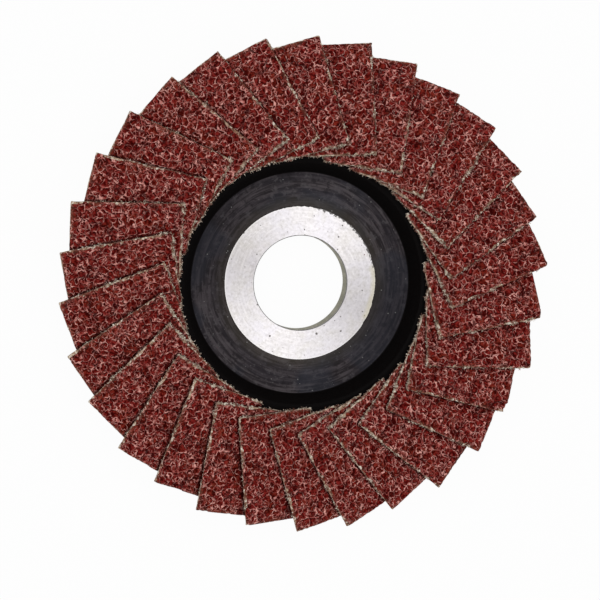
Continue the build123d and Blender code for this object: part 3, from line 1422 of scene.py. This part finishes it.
    def build(self) -> None:
        """Make and dress every flap."""
        seats = self.seats()
        mesh = FlapMesh(self.ply)
        size = (seats[0].length, seats[0].width)
        tree = self.tree(GrainCoat(self.pattern, *size).made(), CutCloth(*size).made())
        for seat, covering in zip(seats, seats[-1:] + seats[:-1]):
            piece = grown(self.sheet(mesh, seat, covering), tree, {"Seed": seat.number})
            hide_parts(f"flap_{seat.number:02d}")

    def sheet(self, mesh: FlapMesh, seat: FlapSeat, covering: FlapSeat) -> bpy.types.Mesh:
        """Make one flap's sheet before its relief.

        Args:
            mesh: The faces' plan.
            seat: The flap's seat.
            covering: The seat of the flap that lies over it.

        Returns:
            The mesh, with what the tree and the finishes read stored on it.
        """
        flat, height, rise = self.shape(mesh, seat, covering)
        points = seat.raised(flat, height)
        data = bpy.data.meshes.new(f"abrasive_flap_{seat.number:02d}")
        data.from_pydata(points.tolist(), [], mesh.faces)
        fray = np.zeros(mesh.count)
        fray[mesh.shoulder] = self.fray(flat[mesh.shoulder], seat)
        place = np.column_stack([flat, np.full(len(flat), float(seat.number))])
        data.attributes.new("flap_place", "FLOAT_VECTOR", "POINT").data.foreach_set("vector", place.ravel())
        step = self.clearance(points, covering)
        for name, values in (("coat_rise", rise), ("step_near", step), ("fray", fray)):
            data.attributes.new(name, "FLOAT", "POINT").data.foreach_set("value", values)
        on_coat = np.arange(len(mesh.faces)) < mesh.coat_faces
        data.attributes.new("coat_face", "BOOLEAN", "FACE").data.foreach_set("value", on_coat)
        return data


# Hub, burrs and crumbs


@dataclass(frozen=True)
class EdgeBurr:
    """Ragged bead left along part of a round edge. Millimetres and degrees, anticlockwise from +X."""

    name: str
    radius: float
    height: float
    start: float
    sweep: float
    bead: float
    wander: float
    seed: int
    spacing: float = 0.18

    def tree(self, material: Material) -> Tree:
        """Build the geometry tree that grows the bead.

        Args:
            material: The bead's finish.

        Returns:
            The tree, whose inputs carry this burr's sizes.
        """
        sizes = {
            "Radius": self.radius * MM,
            "Start": math.radians(self.start),
            "Sweep": math.radians(self.sweep),
            "Bead": self.bead * MM,
            "Wander": self.wander * MM,
            "Spacing": self.spacing * MM,
            "Height": self.height * MM,
            "Seed": float(self.seed),
        }
        bench = Grower(self.name, sizes)
        given = bench.given
        inputs = {"Radius": given["Radius"], "Start Angle": given["Start"], "Sweep Angle": given["Sweep"]}
        arc = bench.out("GeometryNodeCurveArc", {"Resolution": 64, **inputs}, mode="RADIUS")
        inputs = {"Curve": arc, "Length": given["Spacing"]}
        line = bench.out("GeometryNodeResampleCurve", inputs, mode="LENGTH")
        here = bench.out("GeometryNodeInputPosition")
        spot = bench.vectors("ADD", here, bench.joined(0.0, 0.0, given["Seed"]))
        jog = (bench.cloud(spot, 1.1 * MM, 2.0, 0.7) - 0.5) * 2 * given["Wander"]
        outwards = bench.scaled(bench.vectors("NORMALIZE", here), jog)
        moved = bench.moved(line, bench.vectors("ADD", outwards, bench.joined(0.0, 0.0, given["Height"])))
        lump = bench.cloud(spot, 1.7 * MM, 3.0, 0.75).ease(0.42, 0.66)
        inputs = {"Curve": moved, "Radius": (lump * 0.9 + 0.1) * given["Bead"]}
        swollen = bench.out("GeometryNodeSetCurveRadius", inputs)
        bead = bench.tube(swollen, 6, 1.0, bench.out("GeometryNodeInputRadius"))
        return bench.end(bead, (material, True))

    def build(self, material: Material, slot: str) -> None:
        """Make the bead of a finish."""
        grown(bpy.data.meshes.new(self.name), self.tree(material))


@dataclass(frozen=True)
class Crumbs:
    """Loose crumbs lying on the hub's face. Millimetres."""

    height: float
    inner: float = 12.6
    outer: float = 25.6
    count: int = 90
    smallest: float = 0.04
    largest: float = 0.15
    seed: int = 5

    def tree(self, material: Material) -> Tree:
        """Build the geometry tree that strews the crumbs.

        Args:
            material: The crumbs' finish.

        Returns:
            The tree, whose inputs carry the crumbs' sizes.
        """
        names = ("height", "inner", "outer", "smallest", "largest")
        sizes = {name.title(): getattr(self, name) * MM for name in names}
        bench = Grower("strewn_crumbs", {**sizes, "Count": self.count, "Seed": self.seed})
        given, chance = bench.given, bench.chance
        reach = chance(given["Inner"], given["Outer"], 1)
        turn = chance(0.0, 2 * math.pi, 2)
        size = bench.mix(chance(0.0, 1.0, 3) ** 3, given["Smallest"], given["Largest"])
        x, y = (bench.maths(way, turn) * reach for way in ("COSINE", "SINE"))
        place = bench.joined(x, y, size * 0.3 + given["Height"])
        points = bench.out("GeometryNodePoints", {"Count": given["Count"], "Position": place})
        squashed = bench.vectors("MULTIPLY", bench.joined(size, size, size), (1.0, 0.7, 0.6))
        turned = chance((0.0, 0.0, 0.0), (0.6, 0.6, 2 * math.pi), 4, "FLOAT_VECTOR")
        crumbs = bench.strewn(points, bench.lump(), turned, squashed)
        toned = bench.stored(crumbs, "crumb_tone", chance(0.0, 1.0, 5), "INSTANCE")
        return bench.end(toned, (material, True))

    def build(self) -> None:
        """Strew the crumbs."""
        grown(bpy.data.meshes.new("loose_crumbs"), self.tree(CrumbFinish().made()))


@dataclass
class Hub:
    """The moulded plate, its bore ring and the resin bed, whose solids the frame gives."""

    frame: Mapping[str, object]
    bore: float = 11.115

    def dress(self) -> None:
        """Give each solid its finish, and add the burrs and crumbs on the hub's face."""
        _, ring_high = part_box("bore_ring")
        rim, face = ring_high.x / MM, ring_high.z / MM
        aluminium = TurnedAluminium(face, rim - 0.45, self.bore).made()
        plastic = MouldedPlate(rim, face).made()
        finishes = {"bore_ring": aluminium, "backing_plate": plastic, "adhesive_bed": BondResin().made()}
        for name, material in finishes.items():
            node = self.frame["nodes"][name]
            node.data.materials.clear()
            node.data.materials.append(material)
            log.info("%s: %s", name, material.name)
        flash = {"start": -38.0, "sweep": 150.0, "bead": 0.16, "wander": 0.1, "seed": 3}
        EdgeBurr("hub_flash", rim, face - 0.02, **flash).build(plastic, "plate_plastic")
        burr = {"start": 42.0, "sweep": 75.0, "bead": 0.09, "wander": 0.05, "seed": 8}
        EdgeBurr("bore_burr", self.bore + 0.13, face - 0.03, **burr).build(plastic, "plate_plastic")
        Crumbs(face).build()


# Studio


@dataclass(frozen=True)
class Studio:
    """Pale floor, soft overhead light and white surroundings. Metres."""

    floor_side: float = 3.0
    floor_height: float = -0.02 * MM
    floor_tone: float = 0.82
    floor_glow: float = 0.96
    sky: float = 0.52
    key_side: float = 1.4
    key_place: tuple[float, float, float] = (-0.18, 0.16, 1.0)
    key_power: float = 5.0

    def floor(self) -> None:
        """Lay the floor under the hub."""
        half = self.floor_side / 2
        data = bpy.data.meshes.new("floor")
        corners = [(x * half, y * half, self.floor_height) for x, y in ((-1, -1), (1, -1), (1, 1), (-1, 1))]
        data.from_pydata(corners, [], [(0, 1, 2, 3)])
        data.materials.append(material_of("pale_floor", self.pale_surface))
        linked(data)

    def pale_surface(self, bench: Bench) -> Socket:
        """Make a matt floor that keeps a trace of the disc's shadow, and glows white where it is looked at.

        Args:
            bench: Where the nodes are added.

        Returns:
            The shader's output.
        """
        matt = bench.out("ShaderNodeBsdfDiffuse", {"Color": (*(self.floor_tone,) * 3, 1.0)})
        glow = bench.out("ShaderNodeEmission", {"Color": WHITE, "Strength": 1.0})
        return bench.out("ShaderNodeMixShader", {0: self.seen(bench) * self.floor_glow, 1: matt, 2: glow})

    def seen(self, bench: Bench) -> Signal:
        """Tell what the camera, a gloss or a glass sees from diffuse light.

        Args:
            bench: Where the nodes are added.

        Returns:
            1 for what is seen, 0 for diffuse light.
        """
        path = bench.node("ShaderNodeLightPath").outputs
        rays = ("Camera", "Glossy", "Transmission")
        camera, gloss, glass = (Signal(bench, path[f"Is {ray} Ray"]) for ray in rays)
        return bench.maths("ADD", camera + gloss, glass, clamp=True)

    def surroundings(self) -> None:
        """Make the world white to look at, and plain soft light to stand in."""
        world = bpy.data.worlds.new("studio")
        world.use_nodes = True
        world.node_tree.nodes.clear()
        bench = Bench(world.node_tree)
        inputs = {"Color": WHITE, "Strength": bench.mix(self.seen(bench), self.sky, 1.0)}
        bench.node("ShaderNodeOutputWorld", {"Surface": bench.out("ShaderNodeBackground", inputs)})
        bpy.context.scene.world = world

    def lamp(self) -> None:
        """Hang one large soft lamp over the disc."""
        light = bpy.data.lights.new("key", "AREA")
        light.shape = "DISK"
        light.size = self.key_side
        light.energy = self.key_power
        lamp = linked(light)
        lamp.location = self.key_place
        lamp.rotation_mode = "QUATERNION"
        lamp.rotation_quaternion = (-lamp.location).to_track_quat("-Z", "Y")

    def build(self) -> None:
        """Set up floor, surroundings, lamp and plain colour."""
        self.floor()
        self.surroundings()
        self.lamp()
        bpy.context.scene.view_settings.view_transform = "Standard"
        log.info("studio ready")


@dataclass(frozen=True)
class Viewpoint:
    """Camera that looks down on the flaps from a little to one side.

    Lengths are in millimetres, and pixels are those of the square image.
    """

    distance: float = 430.0
    tilt: float = 13.0
    lean: tuple[float, float] = (-0.9, 0.44)
    pixels_per_mm: float = 4.355
    flap_height: float = 13.0
    disc_centre: tuple[float, float] = (308.4, 286.4)
    sensor: float = 36.0
    clip: tuple[float, float] = (10.0, 10000.0)

    def place(self) -> None:
        """Make the camera and give it to the scene."""
        half = IMAGE_SIDE / 2
        x = (half - self.disc_centre[0]) / self.pixels_per_mm
        y = (self.disc_centre[1] - half) / self.pixels_per_mm
        lean = Vector(self.lean).normalized() * math.sin(math.radians(self.tilt))
        back = Vector((lean.x, lean.y, math.cos(math.radians(self.tilt))))
        data = bpy.data.cameras.new("camera")
        data.sensor_width = self.sensor
        data.lens = self.sensor * self.distance / (IMAGE_SIDE / self.pixels_per_mm)
        data.clip_start, data.clip_end = (end * MM for end in self.clip)
        camera = linked(data)
        camera.location = (Vector((x, y, self.flap_height)) + back * self.distance) * MM
        camera.rotation_mode = "QUATERNION"
        camera.rotation_quaternion = self.upright(back)
        bpy.context.scene.camera = camera

    @staticmethod
    def upright(back: Vector) -> Quaternion:
        """Turn a camera to look against back, with +Y up in the image.

        Args:
            back: Unit vector from what it looks at towards the camera.

        Returns:
            Its rotation.
        """
        right = Vector((0, 1, 0)).cross(back).normalized()
        return Matrix((right, back.cross(right), back)).transposed().to_quaternion()


def main() -> None:
    """Load the frame, build and dress every piece, and set the scene."""
    logging.basicConfig(level=logging.INFO, format="%(name)s: %(message)s")
    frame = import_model()
    FlapPack(frame).build()
    Hub(frame).dress()
    Studio().build()
    Viewpoint().place()


if __name__ == "__main__":
    main()
